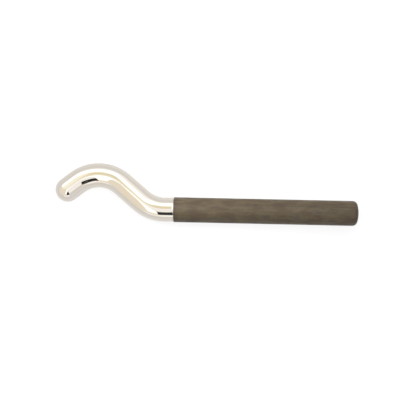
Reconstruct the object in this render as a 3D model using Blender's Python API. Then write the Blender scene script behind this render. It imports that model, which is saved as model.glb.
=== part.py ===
"""Hive tool: a bright-plated steel tube bent in an S, on a straight handle in a flush rubber grip.

Metres, +Z up. The tool lies on its side: both bends lie in one level plane, and the grip rests on z = 0.
X runs along the handle, from the tip at -X to the butt at +X, and the hook rises towards +Y.
The origin is the middle of the outline, on the ground.
"""

import math

import bmesh
import bpy
from mathutils import Matrix, Vector

MM = 0.001

# Driving dimensions of the neck, walked from the front of the grip to the tip.
TUBE_OD = 22.0 * MM
TUBE_WALL = 2.0 * MM
BEND_RADIUS = 32.0 * MM  # centreline radius of both bends
NECK_STRAIGHT = 8.6 * MM
FIRST_BEND = math.radians(40)
LINK_STRAIGHT = 22.7 * MM
SECOND_BEND = math.radians(78)
TIP_STRAIGHT = 10.9 * MM

# Driving dimensions of the handle.
GRIP_OD = 22.5 * MM
GRIP_LENGTH = 166.0 * MM
GRIP_END_WALL = 4.5 * MM
BUTT_CROWN_RADIUS = 29.0 * MM
BUTT_CORNER_RADIUS = 4.5 * MM
MOUTH_ROUND = 0.25 * MM
CORE_OD = 16.0 * MM
CORE_WALL = 2.0 * MM

# Clearances between pieces: across a joint, and between two end faces.
FIT_GAP = 0.2 * MM
FACE_GAP = 0.3 * MM

# The turned plug that joins the neck to the core tube.
FLANGE_OD = 19.6 * MM
FLANGE_THICKNESS = 2.7 * MM
NECK_SPIGOT_LENGTH = 8.0 * MM
CORE_SPIGOT_LENGTH = 32.0 * MM
CHAMFER = 0.6 * MM

# The slotted spring pins that cross the core tube and the plug.
PIN_RADIUS = 1.85 * MM
PIN_WALL = 0.5 * MM
PIN_LENGTH = 15.2 * MM
PIN_SLOT = math.radians(40)
PIN_HOLE_RADIUS = 2.0 * MM
DRILL_LENGTH = 24.0 * MM
PIN_PLACES = (("lock_pin_front", 10.0 * MM, 0.0), ("lock_pin_rear", 25.0 * MM, math.pi / 2))

# The domed cap at the tip, and the push-in plug at the tail.
SKIRT_LENGTH = 5.0 * MM
SKIRT_WALL = 1.5 * MM
TAIL_HEAD_OD = 15.4 * MM
TAIL_HEAD_THICKNESS = 2.4 * MM
TAIL_SHANK_LENGTH = 14.0 * MM
TAIL_RIB_COUNT = 3
TAIL_RIB_DEPTH = 0.6 * MM
TAIL_BORE_RADIUS = 3.2 * MM
TAIL_BORE_DEPTH = 11.0 * MM

# Sizes that follow from those.
TUBE_RADIUS = TUBE_OD / 2
BORE_RADIUS = TUBE_RADIUS - TUBE_WALL
GRIP_RADIUS = GRIP_OD / 2
GRIP_START = FACE_GAP
GRIP_END = GRIP_START + GRIP_LENGTH
CORE_RADIUS = CORE_OD / 2
CORE_BORE_RADIUS = CORE_RADIUS - CORE_WALL
FLANGE_BACK = FACE_GAP + FLANGE_THICKNESS
CORE_START = FLANGE_BACK + FACE_GAP
GRIP_FLOOR = GRIP_END - GRIP_END_WALL
TAIL_HEAD_BACK = GRIP_FLOOR - FACE_GAP
TAIL_HEAD_FRONT = TAIL_HEAD_BACK - TAIL_HEAD_THICKNESS
CORE_END = TAIL_HEAD_FRONT - FACE_GAP

# Facets of round and of small round pieces, then the angle between two rings of a bend, a rounded edge,
# the grip's mouth and its crown.
ROUND_FACETS = 40
PIN_FACETS = 16
BEND_STEP = math.radians(6)
EDGE_STEP = math.radians(11.25)
MOUTH_STEP = math.radians(45)
CROWN_STEP = math.radians(4)

SMOOTH_ANGLE = math.radians(35)
UP = Vector((0, 0, 1))

# Finishes: linear base colour, metallic, roughness.
BRIGHT_NICKEL = ("bright_nickel", (0.66, 0.61, 0.54), 1.0, 0.04)
GRIP_RUBBER = ("grip_rubber", (0.12, 0.10, 0.075), 0.0, 0.6)
TURNED_STEEL = ("turned_steel", (0.52, 0.52, 0.51), 1.0, 0.35)
ZINC_PLATE = ("zinc_plate", (0.62, 0.63, 0.65), 1.0, 0.3)
BLACK_NYLON = ("black_nylon", (0.03, 0.03, 0.03), 0.0, 0.5)


def material(finish):
    """The material of one finish, made once."""
    name, colour, metallic, roughness = finish
    found = bpy.data.materials.get(name)
    if found:
        return found
    made = bpy.data.materials.new(name)
    made.use_nodes = True
    shader = made.node_tree.nodes["Principled BSDF"]
    shader.inputs["Base Color"].default_value = (*colour, 1.0)
    shader.inputs["Metallic"].default_value = metallic
    shader.inputs["Roughness"].default_value = roughness
    made.diffuse_color = (*colour, 1.0)
    return made


def add_object(name, bm, finish, parent=None, matrix=None):
    """Turns a bmesh into a smooth-shaded object under its parent."""
    bmesh.ops.recalc_face_normals(bm, faces=bm.faces)
    mesh = bpy.data.meshes.new(name)
    bm.to_mesh(mesh)
    bm.free()
    mesh.shade_smooth()
    mesh.set_sharp_from_angle(angle=SMOOTH_ANGLE)
    mesh.materials.append(material(finish))
    made = bpy.data.objects.new(name, mesh)
    bpy.context.scene.collection.objects.link(made)
    made.parent = parent
    if matrix:
        made.matrix_local = matrix
    return made


def add_empty(name, parent=None, location=(0, 0, 0), turn=0.0):
    """An empty that holds pieces, turned about +Z."""
    made = bpy.data.objects.new(name, None)
    bpy.context.scene.collection.objects.link(made)
    made.parent = parent
    made.location = location
    made.rotation_euler = (0, 0, turn)
    return made


def arc(centre_x, centre_r, radius, start, end, step=EDGE_STEP):
    """Points (x, r) along an arc of a profile. Angles are measured from +X towards the radius."""
    count = max(2, math.ceil(abs(end - start) / step))
    angles = [start + (end - start) * i / count for i in range(count + 1)]
    return [(centre_x + radius * math.cos(a), centre_r + radius * math.sin(a)) for a in angles]


def turned(profile, facets=ROUND_FACETS):
    """A closed profile of (x, r) points spun about the X axis. A point with r = 0 becomes a pole."""
    bm = bmesh.new()
    rings = []
    for x, r in profile:
        if r == 0:
            rings.append([bm.verts.new((x, 0, 0))] * facets)
            continue
        turns = [2 * math.pi * i / facets for i in range(facets)]
        rings.append([bm.verts.new((x, r * math.cos(a), r * math.sin(a))) for a in turns])
    for here, there in zip(rings, rings[1:] + rings[:1]):
        for i in range(facets):
            j = (i + 1) % facets
            corners = list(dict.fromkeys((here[i], here[j], there[j], there[i])))
            if len(corners) > 2:
                bm.faces.new(corners)
    return bm


def heading_vector(heading):
    """The level direction of a heading. Heading 0 points to -X, and a positive one leans towards +Y."""
    return Vector((-math.cos(heading), math.sin(heading), 0))


def neck_runs():
    """The neck's runs in order: (length, angle). A straight has angle 0, and a bend has length 0."""
    return (
        (NECK_STRAIGHT, 0.0),
        (0.0, FIRST_BEND),
        (LINK_STRAIGHT, 0.0),
        (0.0, -SECOND_BEND),
        (TIP_STRAIGHT, 0.0),
    )


def bend_centre(place, heading, angle):
    """The centre that a bend turns about, on the side it turns to."""
    side = UP.cross(heading_vector(heading)) * math.copysign(BEND_RADIUS, -angle)
    return place + side


def walk_neck():
    """Where the neck's runs start and end, on the tube's centreline: a list of (place, heading)."""
    place = Vector((0, 0, 0))
    heading = 0.0
    stops = [(place.copy(), heading)]
    for length, angle in neck_runs():
        if angle:
            centre = bend_centre(place, heading, angle)
            place = centre + Matrix.Rotation(-angle, 3, "Z") @ (place - centre)
            heading += angle
        else:
            place = place + heading_vector(heading) * length
        stops.append((place.copy(), heading))
    return stops


def build_neck_tube(parent):
    """The bent tube: a ring-shaped face pulled along the straights and spun round the bends."""
    bm = bmesh.new()
    stand = Matrix.Rotation(math.pi / 2, 4, "Y")
    for radius in (TUBE_RADIUS, BORE_RADIUS):
        bmesh.ops.create_circle(bm, segments=ROUND_FACETS, radius=radius, matrix=stand)
    front = bmesh.ops.bridge_loops(bm, edges=bm.edges[:])["faces"]
    inner_walls = []
    for (length, angle), (place, heading) in zip(neck_runs(), walk_neck()):
        if angle:
            centre = bend_centre(place, heading, angle)
            steps = math.ceil(abs(angle) / BEND_STEP)
            spun = bmesh.ops.spin(bm, geom=front, cent=centre, axis=UP, angle=-angle, steps=steps)
            last = spun["geom_last"]
        else:
            last = bmesh.ops.extrude_face_region(bm, geom=front)["geom"]
            corners = [g for g in last if isinstance(g, bmesh.types.BMVert)]
            bmesh.ops.translate(bm, verts=corners, vec=heading_vector(heading) * length)
        front = [g for g in last if isinstance(g, bmesh.types.BMFace)]
        inner_walls += front
    inner_walls = [face for face in inner_walls if face not in front]
    bmesh.ops.delete(bm, geom=inner_walls, context="FACES_ONLY")
    return add_object("neck_tube", bm, BRIGHT_NICKEL, parent)


def build_tip_cap(parent):
    """The hollow domed cap, with a skirt that locates it in the tube. Local +X points out of the tip."""
    skirt_radius = BORE_RADIUS - FIT_GAP
    skirt_bore = skirt_radius - SKIRT_WALL
    rim_angle = math.asin(FACE_GAP / TUBE_RADIUS)
    inner_start = math.asin(skirt_bore / BORE_RADIUS)
    outer = arc(0, 0, TUBE_RADIUS, math.pi / 2 - rim_angle, 0)
    inner = arc(0, 0, BORE_RADIUS, 0, inner_start)
    outer[-1] = (TUBE_RADIUS, 0)
    inner[0] = (BORE_RADIUS, 0)
    skirt = [
        (-SKIRT_LENGTH, skirt_bore),
        (-SKIRT_LENGTH, skirt_radius - CHAMFER),
        (-SKIRT_LENGTH + CHAMFER, skirt_radius),
        (FACE_GAP, skirt_radius),
    ]
    return add_object("tip_cap", turned(outer + inner + skirt), BRIGHT_NICKEL, parent)


def pin_matrix(place, turn):
    """A pin's place: across the handle's axis, this far from the neck, turned about that axis."""
    return Matrix.Translation((place, 0, 0)) @ Matrix.Rotation(turn, 4, "X")


def pin_cutters(parent):
    """Hidden cylinders that drill the cross holes."""
    cutters = []
    for name, place, turn in PIN_PLACES:
        bm = bmesh.new()
        bmesh.ops.create_cone(
            bm,
            cap_ends=True,
            segments=PIN_FACETS,
            radius1=PIN_HOLE_RADIUS,
            radius2=PIN_HOLE_RADIUS,
            depth=DRILL_LENGTH,
        )
        cutter = add_object(f"{name}_drill", bm, TURNED_STEEL, parent, pin_matrix(place, turn))
        cutter.hide_render = True
        cutter.display_type = "WIRE"
        cutters.append(cutter)
    return cutters


def drill(piece, cutters):
    """Cuts the cross holes out of a piece."""
    for cutter in cutters:
        cut = piece.modifiers.new(cutter.name, "BOOLEAN")
        cut.operation = "DIFFERENCE"
        cut.solver = "EXACT"
        cut.object = cutter


def build_joint_plug(parent):
    """The turned plug: a spigot in the neck, a flange at its end, and a long spigot in the core."""
    neck_spigot = BORE_RADIUS - FIT_GAP
    core_spigot = CORE_BORE_RADIUS - FIT_GAP
    front = -NECK_SPIGOT_LENGTH
    back = FLANGE_BACK + CORE_SPIGOT_LENGTH
    profile = [
        (front, 0),
        (front, neck_spigot - CHAMFER),
        (front + CHAMFER, neck_spigot),
        (FACE_GAP, neck_spigot),
        (FACE_GAP, FLANGE_OD / 2),
        (FLANGE_BACK, FLANGE_OD / 2),
        (FLANGE_BACK, core_spigot),
        (back - CHAMFER, core_spigot),
        (back, core_spigot - CHAMFER),
        (back, 0),
    ]
    return add_object("joint_plug", turned(profile), TURNED_STEEL, parent)


def build_core_tube(parent):
    """The straight tube that carries the grip."""
    profile = [
        (CORE_START, CORE_BORE_RADIUS),
        (CORE_START, CORE_RADIUS - CHAMFER),
        (CORE_START + CHAMFER, CORE_RADIUS),
        (CORE_END - CHAMFER, CORE_RADIUS),
        (CORE_END, CORE_RADIUS - CHAMFER),
        (CORE_END, CORE_BORE_RADIUS),
    ]
    return add_object("core_tube", turned(profile), TURNED_STEEL, parent)


def build_lock_pin(name, place, turn, parent):
    """A slotted spring pin, rolled from sheet: a C-shaped face pulled to the pin's length."""
    bm = bmesh.new()
    inner_radius = PIN_RADIUS - PIN_WALL
    start = PIN_SLOT / 2
    sweep = 2 * math.pi - PIN_SLOT
    angles = [start + sweep * i / PIN_FACETS for i in range(PIN_FACETS + 1)]
    foot = -PIN_LENGTH / 2
    outer, inner = (
        [bm.verts.new((r * math.cos(a), r * math.sin(a), foot)) for a in angles]
        for r in (PIN_RADIUS, inner_radius)
    )
    faces = [
        bm.faces.new((outer[i], outer[i + 1], inner[i + 1], inner[i])) for i in range(PIN_FACETS)
    ]
    pulled = bmesh.ops.extrude_face_region(bm, geom=faces)["geom"]
    corners = [g for g in pulled if isinstance(g, bmesh.types.BMVert)]
    bmesh.ops.translate(bm, verts=corners, vec=UP * PIN_LENGTH)
    return add_object(name, bm, ZINC_PLATE, parent, pin_matrix(place, turn))


def build_tail_plug(parent):
    """The push-in plug that closes the core tube, with ribs on its shank and a bore up its middle."""
    shank_radius = CORE_BORE_RADIUS - FIT_GAP
    tip = CORE_END - TAIL_SHANK_LENGTH
    pitch = TAIL_SHANK_LENGTH / (2 * TAIL_RIB_COUNT + 1)
    ribs = []
    for i in range(TAIL_RIB_COUNT):
        crest = tip + pitch * (2 * i + 1)
        ribs += [
            (crest - pitch / 2, shank_radius - TAIL_RIB_DEPTH),
            (crest, shank_radius),
            (crest + pitch / 2, shank_radius),
            (crest + pitch / 2, shank_radius - TAIL_RIB_DEPTH),
        ]
    head_radius = TAIL_HEAD_OD / 2
    profile = [
        (tip + TAIL_BORE_DEPTH, 0),
        (tip + TAIL_BORE_DEPTH, TAIL_BORE_RADIUS),
        (tip, TAIL_BORE_RADIUS),
        (tip, shank_radius - TAIL_RIB_DEPTH),
        *ribs,
        (TAIL_HEAD_FRONT, shank_radius - TAIL_RIB_DEPTH),
        (TAIL_HEAD_FRONT, head_radius),
        (TAIL_HEAD_BACK - CHAMFER, head_radius),
        (TAIL_HEAD_BACK, head_radius - CHAMFER),
        (TAIL_HEAD_BACK, 0),
    ]
    return add_object("tail_plug", turned(profile), BLACK_NYLON, parent)


def butt_profile():
    """The closed end, from the side to the middle: a corner arc, then a shallow crown."""
    crown_x = GRIP_END - BUTT_CROWN_RADIUS
    corner_r = GRIP_RADIUS - BUTT_CORNER_RADIUS
    reach = BUTT_CROWN_RADIUS - BUTT_CORNER_RADIUS
    meet_angle = math.asin(corner_r / reach)
    corner_x = crown_x + reach * math.cos(meet_angle)
    corner = arc(corner_x, corner_r, BUTT_CORNER_RADIUS, math.pi / 2, meet_angle)
    crown = arc(crown_x, 0, BUTT_CROWN_RADIUS, meet_angle, 0, CROWN_STEP)
    crown[-1] = (GRIP_END, 0)
    return corner + crown[1:]


def build_grip_sleeve(parent):
    """The moulded grip: a tube closed at the butt, with a recess at its mouth for the plug's flange."""
    bore = CORE_RADIUS + FIT_GAP
    recess = FLANGE_OD / 2 + FACE_GAP
    mouth_x = GRIP_START + MOUTH_ROUND
    mouth_r = GRIP_RADIUS - MOUTH_ROUND
    mouth = arc(mouth_x, mouth_r, MOUTH_ROUND, math.pi, math.pi / 2, MOUTH_STEP)
    inside = [
        (GRIP_FLOOR, 0),
        (GRIP_FLOOR, bore),
        (CORE_START, bore),
        (CORE_START, recess),
        (GRIP_START, recess),
    ]
    return add_object("grip_sleeve", turned(mouth + butt_profile() + inside), GRIP_RUBBER, parent)


def handle_place():
    """The place of the neck's rear end, so that the outline's middle is over the origin."""
    *_, (bend_start, bend_heading), _, (tip, _) = walk_neck()
    crest = bend_centre(bend_start, bend_heading, -SECOND_BEND).y + BEND_RADIUS + TUBE_RADIUS
    middle_x = (GRIP_END + tip.x - TUBE_RADIUS) / 2
    middle_y = (crest - GRIP_RADIUS) / 2
    return Vector((-middle_x, -middle_y, GRIP_RADIUS))


def main():
    """Clears the scene and builds the tool."""
    for old in list(bpy.data.objects):
        bpy.data.objects.remove(old)
    handle = add_empty("handle_axis", location=handle_place())
    tip_place, tip_heading = walk_neck()[-1]
    tip = add_empty("tip_end", handle, tip_place, math.pi - tip_heading)

    build_neck_tube(handle)
    build_tip_cap(tip)
    cutters = pin_cutters(handle)
    drill(build_joint_plug(handle), cutters)
    drill(build_core_tube(handle), cutters)
    for name, place, turn in PIN_PLACES:
        build_lock_pin(name, place, turn, handle)
    build_tail_plug(handle)
    build_grip_sleeve(handle)


main()
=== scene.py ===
"""Looks of a hook-necked hand tool: a mirror-bright plated neck on a straight rubber grip.

Metres, +Z up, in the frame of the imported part: the tool lies on its side, X runs along the handle
towards the butt, and the hook rises towards +Y.
"""

import logging
import math
from dataclasses import dataclass
from enum import Enum

import bmesh
import bpy
from mathutils import Matrix, Vector, noise


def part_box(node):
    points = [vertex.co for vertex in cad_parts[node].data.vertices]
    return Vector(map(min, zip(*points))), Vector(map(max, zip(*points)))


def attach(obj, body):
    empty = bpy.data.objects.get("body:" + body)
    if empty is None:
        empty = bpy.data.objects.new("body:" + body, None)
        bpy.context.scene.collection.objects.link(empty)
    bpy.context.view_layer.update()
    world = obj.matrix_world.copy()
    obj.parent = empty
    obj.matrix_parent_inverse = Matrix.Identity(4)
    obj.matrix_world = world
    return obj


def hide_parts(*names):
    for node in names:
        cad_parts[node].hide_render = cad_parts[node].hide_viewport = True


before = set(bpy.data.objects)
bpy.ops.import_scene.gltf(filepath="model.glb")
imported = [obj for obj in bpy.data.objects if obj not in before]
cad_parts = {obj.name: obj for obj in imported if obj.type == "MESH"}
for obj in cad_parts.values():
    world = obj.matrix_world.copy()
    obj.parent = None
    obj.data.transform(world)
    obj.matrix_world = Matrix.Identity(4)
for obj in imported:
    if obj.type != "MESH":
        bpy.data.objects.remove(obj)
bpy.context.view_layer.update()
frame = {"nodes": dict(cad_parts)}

MM = 0.001
UP = Vector((0, 0, 1))
ROOT_BODY = "root"
# Layer with the grime on the grip's parting lines and the painted shade at both its ends.
SHADE_AND_GRIME_LAYER = "grime_and_end_shade"
SHARP_ANGLE = math.radians(35)

# Positions on a colour ramp, each with its hex colour.
Tones = tuple[tuple[float, str], ...]

log = logging.getLogger("hook_tool")


class Slot(Enum):
    """Two material slot names, which nothing in this script reads."""

    NICKEL = "bright_nickel"
    RUBBER = "grip_rubber"


def linear(hex_colour: str) -> tuple[float, float, float, float]:
    """Turns an sRGB hex colour into a linear one.

    Args:
        hex_colour: Six hex digits after a hash.

    Returns:
        Linear red, green and blue, and an alpha of one.
    """
    channels = [int(hex_colour[i : i + 2], 16) / 255 for i in (1, 3, 5)]
    low = [c / 12.92 for c in channels]
    high = [((c + 0.055) / 1.055) ** 2.4 for c in channels]
    red, green, blue = (a if c <= 0.04045 else b for c, a, b in zip(channels, low, high))
    return (red, green, blue, 1.0)


def per_metre(size_mm: float) -> float:
    """The texture scale that makes one feature this many millimetres wide."""
    return 1 / (size_mm * MM)


def add_node(
    tree: bpy.types.NodeTree,
    kind: str,
    settings: dict | None = None,
    links: dict | None = None,
    stops: Tones = (),
    **options: object,
) -> bpy.types.Node:
    """Adds a shader node with its settings and links.

    Args:
        tree: The tree that the node joins.
        kind: The node's type name.
        settings: Input socket to constant value.
        links: Input socket to the output socket that feeds it.
        stops: The colour stops, for a node that has a ramp.
        options: The node's own properties.

    Returns:
        The new node.
    """
    node = tree.nodes.new(kind)
    for option, value in options.items():
        setattr(node, option, value)
    for socket, value in (settings or {}).items():
        node.inputs[socket].default_value = value
    for socket, source in (links or {}).items():
        tree.links.new(source, node.inputs[socket])
    if stops:
        elements = node.color_ramp.elements
        while len(elements) < len(stops):
            elements.new(1.0)
        for element, (position, colour) in zip(elements, stops):
            element.position = position
            element.color = linear(colour)
    return node


@dataclass(frozen=True)
class Ring:
    """One round section of a lofted piece. A radius of zero closes the piece in a point."""

    centre: Vector
    forward: Vector
    radius: float


def loft(name: str, rings: list[Ring], facets: int) -> bpy.types.Object:
    """Joins round sections into one closed skin.

    Args:
        name: The piece's name.
        rings: The sections in order. The first and the last have a radius of zero.
        facets: How many sides each section has.

    Returns:
        The smooth-shaded object, linked to the scene.
    """
    bm = bmesh.new()
    loops = []
    for ring in rings:
        if ring.radius == 0:
            loops.append([bm.verts.new(ring.centre)] * facets)
            continue
        side = UP.cross(ring.forward)
        turns = [2 * math.pi * i / facets for i in range(facets)]
        spokes = [side * math.cos(turn) + UP * math.sin(turn) for turn in turns]
        loops.append([bm.verts.new(ring.centre + spoke * ring.radius) for spoke in spokes])
    for here, there in zip(loops, loops[1:]):
        for i in range(facets):
            j = (i + 1) % facets
            corners = list(dict.fromkeys((here[i], here[j], there[j], there[i])))
            bm.faces.new(corners)
    bmesh.ops.recalc_face_normals(bm, faces=bm.faces)
    mesh = bpy.data.meshes.new(name)
    bm.to_mesh(mesh)
    bm.free()
    mesh.shade_smooth()
    mesh.set_sharp_from_angle(angle=SHARP_ANGLE)
    made = bpy.data.objects.new(name, mesh)
    bpy.context.scene.collection.objects.link(made)
    return made


def fit_piece(
    piece: bpy.types.Object, material: bpy.types.Material, nodes: tuple[str, ...]
) -> None:
    """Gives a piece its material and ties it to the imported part.

    Args:
        piece: The finished piece, in place.
        material: What it is made of.
        nodes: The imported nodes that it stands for.
    """
    piece.data.materials.append(material)
    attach(piece, ROOT_BODY)
    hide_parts(*nodes)
    log.info("%s: %d faces, stands for %s", piece.name, len(piece.data.polygons), ", ".join(nodes))


@dataclass(frozen=True)
class Finish:
    """What every finish has: a name, a base colour, a roughness and a metallic share."""

    name: str
    base: str
    roughness: float
    metallic: float

    def build(self) -> bpy.types.Material:
        """Makes the material and lets the finish dress it.

        Returns:
            The finished material.
        """
        material = bpy.data.materials.new(self.name)
        material.use_nodes = True
        tree = material.node_tree
        shader = tree.nodes["Principled BSDF"]
        shader.inputs["Base Color"].default_value = linear(self.base)
        shader.inputs["Roughness"].default_value = self.roughness
        shader.inputs["Metallic"].default_value = self.metallic
        material.diffuse_color = linear(self.base)
        place = add_node(tree, "ShaderNodeTexCoord").outputs["Object"]
        self.dress(tree, shader, place)
        return material

    def dress(
        self, tree: bpy.types.NodeTree, shader: bpy.types.Node, place: bpy.types.NodeSocket
    ) -> None:
        """Adds the finish's own pattern.

        Args:
            tree: The material's node tree.
            shader: Its surface shader.
            place: The point on the surface, in metres.
        """
        raise NotImplementedError


@dataclass(frozen=True)
class BuffedNickelPlate(Finish):
    """Bright nickel plate on buffed steel tube.

    It gives the eye a clear, slightly warm mirror. The buffing wheel leaves waves a finger's width
    long that bend the reflections a little, and handling leaves faint duller smears.
    """

    name: str = "buffed_nickel_plate"
    base: str = "#CBC5BE"
    roughness: float = 0.03
    metallic: float = 1.0
    warm_base: str = "#CBC3B7"
    smear_mm: float = 26.0
    smear_window: tuple[float, float] = (0.35, 0.75)
    smear_roughness: float = 0.06
    wave_mm: float = 13.0
    wave_height_mm: float = 0.03

    def dress(
        self, tree: bpy.types.NodeTree, shader: bpy.types.Node, place: bpy.types.NodeSocket
    ) -> None:
        """Adds smears to the roughness and the tint, and buffing waves to the surface.

        Args:
            tree: The material's node tree.
            shader: Its surface shader.
            place: The point on the surface, in metres.
        """
        clean, smeared = self.smear_window
        smear = add_node(
            tree,
            "ShaderNodeTexNoise",
            {"Scale": per_metre(self.smear_mm), "Detail": 3.0},
            {"Vector": place},
        )
        dulled = add_node(
            tree,
            "ShaderNodeMapRange",
            {
                "From Min": clean,
                "From Max": smeared,
                "To Min": self.roughness,
                "To Max": self.smear_roughness,
            },
            {"Value": smear.outputs["Fac"]},
        )
        tint = add_node(
            tree,
            "ShaderNodeValToRGB",
            None,
            {"Fac": smear.outputs["Fac"]},
            ((clean, self.base), (smeared, self.warm_base)),
        )
        wave = add_node(
            tree,
            "ShaderNodeTexNoise",
            {"Scale": per_metre(self.wave_mm), "Detail": 1.0},
            {"Vector": place},
        )
        ripple = add_node(
            tree,
            "ShaderNodeBump",
            {"Strength": 1.0, "Distance": self.wave_height_mm * MM},
            {"Height": wave.outputs["Fac"]},
        )
        tree.links.new(dulled.outputs["Result"], shader.inputs["Roughness"])
        tree.links.new(tint.outputs["Color"], shader.inputs["Base Color"])
        tree.links.new(ripple.outputs["Normal"], shader.inputs["Normal"])


@dataclass(frozen=True)
class MouldedRubber(Finish):
    """Dark moulded rubber, handled and dusty.

    It gives the eye an olive brown with a broad dull sheen. The rubber flowed along the mould, so its
    lighter and darker streaks run lengthwise, handling leaves browner and duller patches, grime darkens
    the parting lines, and painted shade darkens both ends.
    """

    name: str = "moulded_rubber"
    base: str = "#453B2C"
    roughness: float = 0.46
    metallic: float = 0.0
    specular: float = 0.22
    streak_tones: Tones = ((0.35, "#393127"), (0.5, "#453B2C"), (0.66, "#554A36"))
    streak_length_mm: float = 18.0
    streak_width_mm: float = 2.0
    patch_tones: Tones = ((0.34, "#48372A"), (0.46, "#453B2C"), (0.56, "#554A36"), (0.68, "#3F3937"))
    patch_length_mm: float = 15.0
    patch_width_mm: float = 7.0
    patch_share: float = 0.5
    polish_window: tuple[float, float] = (0.35, 0.65)
    duller_by: float = 0.1
    shinier_by: float = 0.08
    # One dark brown for the grime on the parting lines and for the painted shade at the grip's ends.
    grime_and_end_shade: str = "#2F2219"
    grime_and_shade_share: float = 0.6
    grain_mm: float = 1.1
    grain_height_mm: float = 0.035

    def dress(
        self, tree: bpy.types.NodeTree, shader: bpy.types.Node, place: bpy.types.NodeSocket
    ) -> None:
        """Adds lengthwise streaks, brown and grey patches and a grain.

        Args:
            tree: The material's node tree.
            shader: Its surface shader.
            place: The point on the surface, in metres.
        """
        shader.inputs["Specular IOR Level"].default_value = self.specular
        streak = self.drawn_out(tree, place, self.streak_length_mm, self.streak_width_mm)
        patch = self.drawn_out(tree, place, self.patch_length_mm, self.patch_width_mm)
        shade = add_node(
            tree,
            "ShaderNodeValToRGB",
            None,
            {"Fac": streak},
            self.streak_tones,
        )
        tint = add_node(
            tree,
            "ShaderNodeValToRGB",
            None,
            {"Fac": patch},
            self.patch_tones,
        )
        colour = add_node(
            tree,
            "ShaderNodeMixRGB",
            {"Fac": self.patch_share},
            {"Color1": shade.outputs["Color"], "Color2": tint.outputs["Color"]},
        )
        # Darkens the parting lines with grime and both ends of the grip with painted shade.
        grime_and_shade = add_node(tree, "ShaderNodeAttribute", attribute_name=SHADE_AND_GRIME_LAYER)
        darkening = add_node(
            tree, "ShaderNodeMath", {1: self.grime_and_shade_share}, {0: grime_and_shade.outputs["Fac"]}, operation="MULTIPLY"
        )
        grimed_and_shaded = add_node(
            tree,
            "ShaderNodeMixRGB",
            {"Color2": linear(self.grime_and_end_shade)},
            {"Fac": darkening.outputs["Value"], "Color1": colour.outputs["Color"]},
        )
        dull, shiny = self.polish_window
        polish = add_node(
            tree,
            "ShaderNodeMapRange",
            {
                "From Min": dull,
                "From Max": shiny,
                "To Min": self.roughness + self.duller_by,
                "To Max": self.roughness - self.shinier_by,
            },
            {"Value": patch},
        )
        # The real grain is about 0.3 mm, too fine to show from a metre away, so it is drawn coarser.
        grain = add_node(
            tree,
            "ShaderNodeTexNoise",
            {"Scale": per_metre(self.grain_mm), "Detail": 2.0},
            {"Vector": place},
        )
        rough = add_node(
            tree,
            "ShaderNodeBump",
            {"Strength": 1.0, "Distance": self.grain_height_mm * MM},
            {"Height": grain.outputs["Fac"]},
        )
        tree.links.new(grimed_and_shaded.outputs["Color"], shader.inputs["Base Color"])
        tree.links.new(polish.outputs["Result"], shader.inputs["Roughness"])
        tree.links.new(rough.outputs["Normal"], shader.inputs["Normal"])

    def drawn_out(
        self, tree: bpy.types.NodeTree, place: bpy.types.NodeSocket, length_mm: float, width_mm: float
    ) -> bpy.types.NodeSocket:
        """Makes noise that is stretched along the grip.

        Args:
            tree: The material's node tree.
            place: The point on the surface, in metres.
            length_mm: How long one mark is.
            width_mm: How wide one mark is.

        Returns:
            The noise value.
        """
        across = per_metre(width_mm)
        stretched = add_node(
            tree,
            "ShaderNodeMapping",
            {"Scale": (per_metre(length_mm), across, across)},
            {"Vector": place},
        )
        marks = add_node(
            tree,
            "ShaderNodeTexNoise",
            {"Scale": 1.0, "Detail": 4.0, "Roughness": 0.6},
            {"Vector": stretched.outputs["Vector"]},
        )
        return marks.outputs["Fac"]


@dataclass(frozen=True)
class LinedMetal(Finish):
    """Turned or rolled metal, whose tool leaves fine even lines round the piece."""

    metallic: float = 1.0
    line_mm: float = 0.5
    line_depth_mm: float = 0.01

    def dress(
        self, tree: bpy.types.NodeTree, shader: bpy.types.Node, place: bpy.types.NodeSocket
    ) -> None:
        """Adds lines square to the handle's axis.

        Args:
            tree: The material's node tree.
            shader: Its surface shader.
            place: The point on the surface, in metres.
        """
        lines = add_node(
            tree,
            "ShaderNodeTexWave",
            {"Scale": per_metre(self.line_mm) / (2 * math.pi), "Distortion": 0.4},
            {"Vector": place},
            bands_direction="X",
        )
        groove = add_node(
            tree,
            "ShaderNodeBump",
            {"Strength": 1.0, "Distance": self.line_depth_mm * MM},
            {"Height": lines.outputs["Fac"]},
        )
        tree.links.new(groove.outputs["Normal"], shader.inputs["Normal"])


@dataclass(frozen=True)
class MouldedNylon(Finish):
    """Black moulded nylon, whose mould leaves a fine even pebble that dulls the shine."""

    name: str = "moulded_nylon"
    base: str = "#2E2E2E"
    roughness: float = 0.45
    metallic: float = 0.0
    pebble_mm: float = 0.8
    pebble_height_mm: float = 0.02

    def dress(
        self, tree: bpy.types.NodeTree, shader: bpy.types.Node, place: bpy.types.NodeSocket
    ) -> None:
        """Adds the pebble.

        Args:
            tree: The material's node tree.
            shader: Its surface shader.
            place: The point on the surface, in metres.
        """
        pebble = add_node(
            tree,
            "ShaderNodeTexNoise",
            {"Scale": per_metre(self.pebble_mm)},
            {"Vector": place},
        )
        raised = add_node(
            tree,
            "ShaderNodeBump",
            {"Strength": 1.0, "Distance": self.pebble_height_mm * MM},
            {"Height": pebble.outputs["Fac"]},
        )
        tree.links.new(raised.outputs["Normal"], shader.inputs["Normal"])


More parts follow.
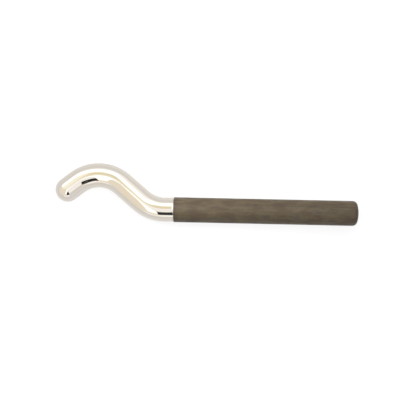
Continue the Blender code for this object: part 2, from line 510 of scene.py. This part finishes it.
@dataclass
class PolishedNeck:
    """The bent neck and its domed tip, as one seamless polished skin with the tube's bore inside."""

    facets: int = 112
    radius: float = 11.0 * MM
    bore: float = 9.0 * MM
    bend_radius: float = 32.0 * MM
    neck_straight: float = 8.6 * MM
    first_bend: float = math.radians(40)
    link_straight: float = 22.7 * MM
    second_bend: float = math.radians(78)
    tip_straight: float = 10.9 * MM
    rim_round: float = 0.3 * MM
    gap_to_grip: float = 0.3 * MM
    straight_step: float = 2.5 * MM
    bend_step: float = math.radians(2)
    dome_steps: int = 28
    rim_steps: int = 4

    def start(self) -> Vector:
        """The middle of the neck's rear end, found from the grip's box."""
        low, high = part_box("grip_sleeve")
        return Vector((low.x - self.gap_to_grip, (low.y + high.y) / 2, (low.z + high.z) / 2))

    def stations(self) -> list[tuple[Vector, Vector]]:
        """Walks the centreline from the rear end to the tip.

        Returns:
            Points on the centreline, each with its level direction of travel.
        """
        place = self.start()
        travel = Vector((-1, 0, 0))
        found = [(place.copy(), travel.copy())]
        runs = (
            (self.neck_straight, 0.0),
            (0.0, -self.first_bend),
            (self.link_straight, 0.0),
            (0.0, self.second_bend),
            (self.tip_straight, 0.0),
        )
        for length, turn in runs:
            if turn:
                steps = math.ceil(abs(turn) / self.bend_step)
                centre = place + UP.cross(travel) * math.copysign(self.bend_radius, turn)
                step = Matrix.Rotation(turn / steps, 3, "Z")
            else:
                steps = math.ceil(length / self.straight_step)
            for _ in range(steps):
                if turn:
                    place = centre + step @ (place - centre)
                    travel = step @ travel
                else:
                    place = place + travel * (length / steps)
                found.append((place.copy(), travel.copy()))
        return found

    def dome(self, tip: Vector, travel: Vector, radius: float) -> list[Ring]:
        """The rings of a half sphere, from just past the tube to the pole.

        Args:
            tip: The end of the centreline.
            travel: The direction that the dome faces.
            radius: The half sphere's radius.

        Returns:
            The rings in order, the last of them the pole.
        """
        rings = []
        for i in range(1, self.dome_steps):
            angle = math.pi / 2 * i / self.dome_steps
            rings.append(Ring(tip + travel * radius * math.sin(angle), travel, radius * math.cos(angle)))
        rings.append(Ring(tip + travel * radius, travel, 0.0))
        return rings

    def rim(self, place: Vector, travel: Vector) -> list[Ring]:
        """The rings of the rounded rear edge, from the end face to the side.

        Args:
            place: The middle of the rear end.
            travel: The direction of the tip.

        Returns:
            The rings in order.
        """
        rings = []
        for i in range(self.rim_steps + 1):
            angle = math.pi / 2 * i / self.rim_steps
            inward = self.rim_round * (1 - math.cos(angle))
            radius = self.radius - self.rim_round * (1 - math.sin(angle))
            rings.append(Ring(place + travel * inward, travel, radius))
        return rings

    def build(self, finish: Finish) -> bpy.types.Object:
        """Makes the neck and dresses it.

        Args:
            finish: The plate on its surface.

        Returns:
            The finished piece.
        """
        stations = self.stations()
        tip, travel = stations[-1]
        inside = [Ring(place, way, self.bore) for place, way in stations]
        outside = [Ring(place, way, self.radius) for place, way in stations[1:]]
        inner_dome = self.dome(tip, travel, self.bore)
        rings = [*reversed(inner_dome), *reversed(inside), *self.rim(*stations[0]), *outside]
        rings += self.dome(tip, travel, self.radius)
        neck = loft("polished_neck", rings, self.facets)
        fit_piece(neck, finish.build(), ("neck_tube", "tip_cap"))
        return neck


@dataclass
class MouldedGrip:
    """The closed rubber grip: straight sides, a crowned butt with a round corner, and a bored inside.

    The two halves of its mould met in a plane, which leaves a fine raised line along both sides.
    """

    facets: int = 200
    radius: float = 11.25 * MM
    mouth_round: float = 0.25 * MM
    crown_radius: float = 29.0 * MM
    corner_radius: float = 4.5 * MM
    end_wall: float = 4.5 * MM
    bore: float = 8.2 * MM
    recess: float = 10.1 * MM
    recess_depth: float = 3.0 * MM
    side_step: float = 2.0 * MM
    corner_steps: int = 12
    crown_steps: int = 8
    mouth_steps: int = 4
    sway: float = 0.07 * MM
    sway_length: float = 24.0 * MM
    parting_spoke: int = 35
    parting_height: float = 0.16 * MM
    # How far in from each end the grip's painted shade reaches, and how dark it is.
    end_shade_reach: float = 5.0 * MM
    end_shade: float = 0.7

    def profile(self) -> list[tuple[float, float]]:
        """The half section, as distance along the grip and distance from its axis.

        Returns:
            Points from the middle of the floor, out of the mouth and back along the side to the butt.
        """
        low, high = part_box("grip_sleeve")
        start, end = low.x, high.x
        floor = end - self.end_wall
        points = [
            (floor, 0.0),
            (floor, self.bore),
            (start + self.recess_depth, self.bore),
            (start + self.recess_depth, self.recess),
            (start, self.recess),
        ]
        for i in range(self.mouth_steps + 1):
            angle = math.pi / 2 * i / self.mouth_steps
            along = start + self.mouth_round * (1 - math.cos(angle))
            points.append((along, self.radius - self.mouth_round * (1 - math.sin(angle))))
        reach = self.crown_radius - self.corner_radius
        corner_r = self.radius - self.corner_radius
        meet = math.asin(corner_r / reach)
        corner_x = end - self.crown_radius + reach * math.cos(meet)
        side_start = start + self.mouth_round
        count = math.ceil((corner_x - side_start) / self.side_step)
        points += [(side_start + (corner_x - side_start) * i / count, self.radius) for i in range(1, count)]
        for i in range(self.corner_steps + 1):
            angle = math.pi / 2 + (meet - math.pi / 2) * i / self.corner_steps
            along = corner_x + self.corner_radius * math.cos(angle)
            points.append((along, corner_r + self.corner_radius * math.sin(angle)))
        for i in range(1, self.crown_steps):
            angle = meet * (1 - i / self.crown_steps)
            along = end - self.crown_radius * (1 - math.cos(angle))
            points.append((along, self.crown_radius * math.sin(angle)))
        points.append((end, 0.0))
        return points

    def mould(self, grip: bpy.types.Object, low: Vector, high: Vector) -> None:
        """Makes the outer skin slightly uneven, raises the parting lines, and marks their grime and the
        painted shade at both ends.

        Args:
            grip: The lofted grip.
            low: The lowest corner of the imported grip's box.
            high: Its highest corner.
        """
        axis = (low + high) / 2
        spoke_turn = 2 * math.pi / self.facets
        layer = grip.data.attributes.new(SHADE_AND_GRIME_LAYER, "FLOAT", "POINT")
        for vertex in grip.data.vertices:
            spoke = Vector((0, vertex.co.y - axis.y, vertex.co.z - axis.z))
            to_end = min(vertex.co.x - low.x, high.x - vertex.co.x)
            # Painted shade that fades in from each end of the grip.
            grime_and_end_shade = self.end_shade * max(0.0, 1 - to_end / self.end_shade_reach)
            on_outer_skin = spoke.length > self.recess + self.mouth_round
            if on_outer_skin:
                lift = min(noise.noise(vertex.co / self.sway_length), 0.0) * self.sway
                turn = round(math.atan2(spoke.z, spoke.y) / spoke_turn)
                if (turn - self.parting_spoke) % (self.facets // 2) == 0:
                    lift += self.parting_height
                    # The parting line itself gets full grime.
                    grime_and_end_shade = 1.0
                vertex.co += spoke.normalized() * lift
            layer.data[vertex.index].value = grime_and_end_shade

    def build(self, finish: Finish) -> bpy.types.Object:
        """Makes the grip and dresses it.

        Args:
            finish: The rubber.

        Returns:
            The finished piece.
        """
        low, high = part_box("grip_sleeve")
        axis = (low + high) / 2
        along = Vector((1, 0, 0))
        rings = [Ring(Vector((x, axis.y, axis.z)), along, r) for x, r in self.profile()]
        grip = loft("moulded_grip", rings, self.facets)
        self.mould(grip, low, high)
        fit_piece(grip, finish.build(), ("grip_sleeve",))
        return grip


@dataclass
class HandleCore:
    """The pieces inside the handle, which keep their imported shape."""

    turned: Finish = LinedMetal("turned_mild_steel", "#B8B7B3", 0.32)
    plated: Finish = LinedMetal("zinc_plated_spring_steel", "#C6C9CC", 0.28, line_mm=1.2, line_depth_mm=0.006)
    moulded: Finish = MouldedNylon()

    def dress(self, nodes: dict[str, bpy.types.Object]) -> None:
        """Gives each hidden node its material.

        Args:
            nodes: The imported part's nodes by name.
        """
        steel = self.turned.build()
        zinc = self.plated.build()
        nylon = self.moulded.build()
        materials = {
            "joint_plug": steel,
            "core_tube": steel,
            "lock_pin_front": zinc,
            "lock_pin_rear": zinc,
            "tail_plug": nylon,
        }
        for name, material in materials.items():
            nodes[name].material_slots[0].material = material
            log.info("%s: %s", name, material.name)


@dataclass(frozen=True)
class Softbox:
    """A soft lamp turned towards the tool. The panels stand for it in mirrors, so gloss doesn't show it."""

    name: str
    place: tuple[float, float, float]
    size: tuple[float, float]
    watts: float

    def hang(self) -> None:
        """Hangs the lamp and turns it towards the middle of the tool."""
        light = bpy.data.lights.new(self.name, "AREA")
        light.shape = "RECTANGLE"
        light.size, light.size_y = self.size
        light.energy = self.watts
        lamp = bpy.data.objects.new(self.name, light)
        bpy.context.scene.collection.objects.link(lamp)
        lamp.location = self.place
        lamp.rotation_euler = lamp.location.to_track_quat("Z", "Y").to_euler()
        lamp.visible_camera = False
        lamp.visible_glossy = False


@dataclass(frozen=True)
class Panel:
    """A level studio panel above the tool. It only shows in reflections, and its edges fade out."""

    name: str
    colour: str
    strength: float
    x_span: tuple[float, float]
    y_span: tuple[float, float]
    height: float
    fade: float

    def hang(self) -> None:
        """Makes the panel, which is part of the stage."""
        (left, right), (near, far) = self.x_span, self.y_span
        bm = bmesh.new()
        corners = ((left, near), (right, near), (right, far), (left, far))
        bm.faces.new([bm.verts.new((x, y, self.height)) for x, y in corners])
        hang_sheet(self.name, bm, self.paint(right - left, far - near))

    def paint(self, width: float, depth: float) -> bpy.types.Material:
        """Makes the panel's glow.

        Args:
            width: The panel's size along X.
            depth: The panel's size along Y.

        Returns:
            The material.
        """
        material = bpy.data.materials.new(self.name)
        material.use_nodes = True
        tree = material.node_tree
        tree.nodes.clear()
        place = add_node(tree, "ShaderNodeTexCoord").outputs["Generated"]
        middle = 0.5
        centred = add_node(
            tree, "ShaderNodeVectorMath", {1: (middle,) * 3}, {0: place}, operation="SUBTRACT"
        )
        reach = add_node(
            tree, "ShaderNodeVectorMath", None, {0: centred.outputs["Vector"]}, operation="ABSOLUTE"
        )
        split = add_node(tree, "ShaderNodeSeparateXYZ", None, {"Vector": reach.outputs["Vector"]})
        across, along = (
            add_node(
                tree,
                "ShaderNodeMapRange",
                {"From Min": middle - self.fade / size, "From Max": middle, "To Min": 1.0, "To Max": 0.0},
                {"Value": split.outputs[axis]},
                interpolation_type="SMOOTHSTEP",
            )
            for axis, size in (("X", width), ("Y", depth))
        )
        share = add_node(
            tree,
            "ShaderNodeMath",
            None,
            {0: across.outputs["Result"], 1: along.outputs["Result"]},
            operation="MULTIPLY",
        )
        glow = add_node(
            tree, "ShaderNodeEmission", {"Color": linear(self.colour), "Strength": self.strength}
        )
        clear = add_node(tree, "ShaderNodeBsdfTransparent")
        mixed = add_node(
            tree,
            "ShaderNodeMixShader",
            None,
            {0: share.outputs["Value"], 1: clear.outputs["BSDF"], 2: glow.outputs["Emission"]},
        )
        add_node(tree, "ShaderNodeOutputMaterial", None, {"Surface": mixed.outputs["Shader"]})
        return material


@dataclass(frozen=True)
class Board:
    """A stiff sharp-edged board above the tool, in cloth of slightly uneven tone."""

    name: str
    tones: Tones
    strength: float
    outline: tuple[tuple[float, float], ...]
    height: float
    fold_mm: float = 120.0

    def hang(self) -> None:
        """Makes the board, which is part of the stage."""
        bm = bmesh.new()
        bm.faces.new([bm.verts.new((x, y, self.height)) for x, y in self.outline])
        material = bpy.data.materials.new(self.name)
        material.use_nodes = True
        tree = material.node_tree
        tree.nodes.clear()
        place = add_node(tree, "ShaderNodeTexCoord").outputs["Object"]
        fold = add_node(
            tree,
            "ShaderNodeTexNoise",
            {"Scale": per_metre(self.fold_mm), "Detail": 3.0},
            {"Vector": place},
        )
        tone = add_node(tree, "ShaderNodeValToRGB", None, {"Fac": fold.outputs["Fac"]}, self.tones)
        glow = add_node(
            tree, "ShaderNodeEmission", {"Strength": self.strength}, {"Color": tone.outputs["Color"]}
        )
        add_node(tree, "ShaderNodeOutputMaterial", None, {"Surface": glow.outputs["Emission"]})
        hang_sheet(self.name, bm, material)


def hang_sheet(name: str, bm: bmesh.types.BMesh, material: bpy.types.Material) -> None:
    """Adds a stage sheet that only shows in reflections, not in direct view or on matt surfaces.

    Args:
        name: The sheet's name.
        bm: Its shape, which this call uses up.
        material: What it is made of.
    """
    mesh = bpy.data.meshes.new(name)
    bm.to_mesh(mesh)
    bm.free()
    mesh.materials.append(material)
    sheet = bpy.data.objects.new(name, mesh)
    bpy.context.scene.collection.objects.link(sheet)
    sheet.visible_camera = False
    sheet.visible_diffuse = False
    sheet.visible_shadow = False


@dataclass
class Studio:
    """A lit white table in a pale room, with a large softbox beyond the hook and a small lamp by the grip.

    The panels and boards hang close above one another, the lower ones in front, and give the polished
    neck what it mirrors.
    """

    floor_size: float = 8.0
    floor_drop: float = 0.1 * MM
    floor_tones: Tones = ((0.3, "#6A6A6A"), (0.7, "#6D6D6D"))
    floor_fibre_mm: float = 60.0
    floor_roughness: float = 0.9
    floor_specular: float = 0.1
    floor_glow: float = 0.85
    sky_strength: float = 1.6
    sky_bright_side: tuple[float, float, float] = (0.0, 0.6, 0.8)
    sky_tones: Tones = ((0.2, "#747474"), (0.5, "#909090"), (0.8, "#C8C8C8"), (0.97, "#FFFFFF"))
    softboxes: tuple[Softbox, ...] = (
        Softbox("key_softbox", (-0.3, 0.75, 0.75), (1.3, 0.6), 6.5),
        Softbox("near_lamp", (-0.06, 0.03, 0.14), (0.08, 0.05), 0.19),
    )
    panels: tuple[Panel, ...] = (
        Panel("ceiling", "#FFFFFF", 1.12, (-60.0, 60.0), (-60.0, 60.0), 0.84, 0.3),
        Panel("overhead_panel", "#FFFFFF", 1.5, (-1.6, 1.4), (-1.2, 2.1), 0.82, 0.4),
        Panel("low_panel", "#FFFFFF", 1.6, (-1.2, 0.5), (-2.5, -0.9), 0.78, 0.15),
        Panel("shade_panel", "#FFF7EE", 1.05, (0.18, 1.4), (-1.3, -0.1), 0.77, 0.26),
        Panel("cream_panel", "#FFF8E8", 1.3, (-3.2, -0.1), (-1.6, 0.5), 0.76, 0.2),
        Panel("straw_panel", "#FFFFEE", 1.54, (-0.9, 0.12), (0.02, 0.6), 0.75, 0.05),
        Panel("gold_panel", "#FFF7D8", 1.2, (-0.3, 0.12), (0.04, 0.38), 0.74, 0.1),
        Panel("north_east_panel", "#FFFFFF", 2.2, (-0.01, 0.6), (-0.02, 0.6), 0.73, 0.05),
        Panel("key_panel", "#FFFFFF", 2.4, (-1.2, 0.4), (0.37, 1.15), 0.72, 0.16),
    )
    boards: tuple[Board, ...] = (
        Board(
            "white_board",
            ((0.3, "#F6F6F6"), (0.7, "#FFFFFF")),
            2.1,
            ((-0.14, -0.03), (-0.17, -0.76), (-0.42, -0.76), (-0.19, -0.03)),
            0.7,
        ),
        Board(
            "dark_flag",
            ((0.35, "#1C1414"), (0.5, "#33302F"), (0.62, "#6E7A7C"), (0.7, "#B8BCBA")),
            0.8,
            ((-0.145, -0.36), (-0.06, -0.36), (-0.02, -0.27), (0.22, -0.66), (0.22, -1.0), (-0.225, -1.0)),
            0.69,
        ),
    )

    def build(self) -> None:
        """Sets the whole stage."""
        self.lay_floor()
        self.light_sky()
        hung = (*self.softboxes, *self.panels, *self.boards)
        for thing in hung:
            thing.hang()
        log.info("studio: floor and %s", ", ".join(thing.name for thing in hung))

    def lay_floor(self) -> None:
        """Lays the pale floor just under the tool: an opal table top, lit from below."""
        bm = bmesh.new()
        bmesh.ops.create_grid(bm, x_segments=1, y_segments=1, size=self.floor_size / 2)
        mesh = bpy.data.meshes.new("floor")
        bm.to_mesh(mesh)
        bm.free()
        material = bpy.data.materials.new("opal_table_top")
        material.use_nodes = True
        tree = material.node_tree
        shader = tree.nodes["Principled BSDF"]
        shader.inputs["Roughness"].default_value = self.floor_roughness
        shader.inputs["Specular IOR Level"].default_value = self.floor_specular
        shader.inputs["Emission Color"].default_value = linear("#FFFFFF")
        shader.inputs["Emission Strength"].default_value = self.floor_glow
        place = add_node(tree, "ShaderNodeTexCoord").outputs["Object"]
        fibre = add_node(
            tree,
            "ShaderNodeTexNoise",
            {"Scale": per_metre(self.floor_fibre_mm), "Detail": 2.0},
            {"Vector": place},
        )
        tone = add_node(
            tree,
            "ShaderNodeValToRGB",
            None,
            {"Fac": fibre.outputs["Fac"]},
            self.floor_tones,
        )
        tree.links.new(tone.outputs["Color"], shader.inputs["Base Color"])
        mesh.materials.append(material)
        floor = bpy.data.objects.new("floor", mesh)
        floor.location.z = -self.floor_drop
        bpy.context.scene.collection.objects.link(floor)

    def light_sky(self) -> None:
        """Makes the room: a neutral white, brighter overhead and on the key's side."""
        world = bpy.data.worlds.new("pale_room")
        world.use_nodes = True
        tree = world.node_tree
        background = tree.nodes["Background"]
        background.inputs["Strength"].default_value = self.sky_strength
        way = add_node(tree, "ShaderNodeTexCoord").outputs["Generated"]
        lifted = add_node(
            tree, "ShaderNodeVectorMath", {1: self.sky_bright_side}, {0: way}, operation="DOT_PRODUCT"
        )
        share = add_node(
            tree,
            "ShaderNodeMapRange",
            {"From Min": -1.0, "From Max": 1.0},
            {"Value": lifted.outputs["Value"]},
        )
        tone = add_node(
            tree,
            "ShaderNodeValToRGB",
            None,
            {"Fac": share.outputs["Result"]},
            self.sky_tones,
        )
        tree.links.new(tone.outputs["Color"], background.inputs["Color"])
        bpy.context.scene.world = world


@dataclass
class TopCamera:
    """A camera straight above the tool, looking down, turned very slightly."""

    x: float = 1.05 * MM
    y: float = -12.55 * MM
    height: float = 1.01125
    turn: float = math.radians(1.23)
    lens: float = 96.2
    sensor: float = 36.0

    def place(self) -> None:
        """Makes the camera and the plain colour handling that a studio picture has."""
        data = bpy.data.cameras.new("camera")
        data.lens = self.lens
        data.sensor_width = self.sensor
        camera = bpy.data.objects.new("camera", data)
        bpy.context.scene.collection.objects.link(camera)
        camera.location = (self.x, self.y, self.height)
        camera.rotation_euler = (0, 0, self.turn)
        bpy.context.scene.camera = camera
        bpy.context.scene.view_settings.view_transform = "Standard"
        bpy.context.scene.view_settings.look = "None"


def write_sizes() -> None:
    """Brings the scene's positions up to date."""
    bpy.context.view_layer.update()


def main() -> None:
    """Builds the tool's pieces, then the studio."""
    PolishedNeck().build(BuffedNickelPlate())
    MouldedGrip().build(MouldedRubber())
    HandleCore().dress(frame["nodes"])
    Studio().build()
    TopCamera().place()
    write_sizes()


if __name__ == "__main__":
    logging.basicConfig(level=logging.INFO, format="%(name)s: %(message)s")
    main()
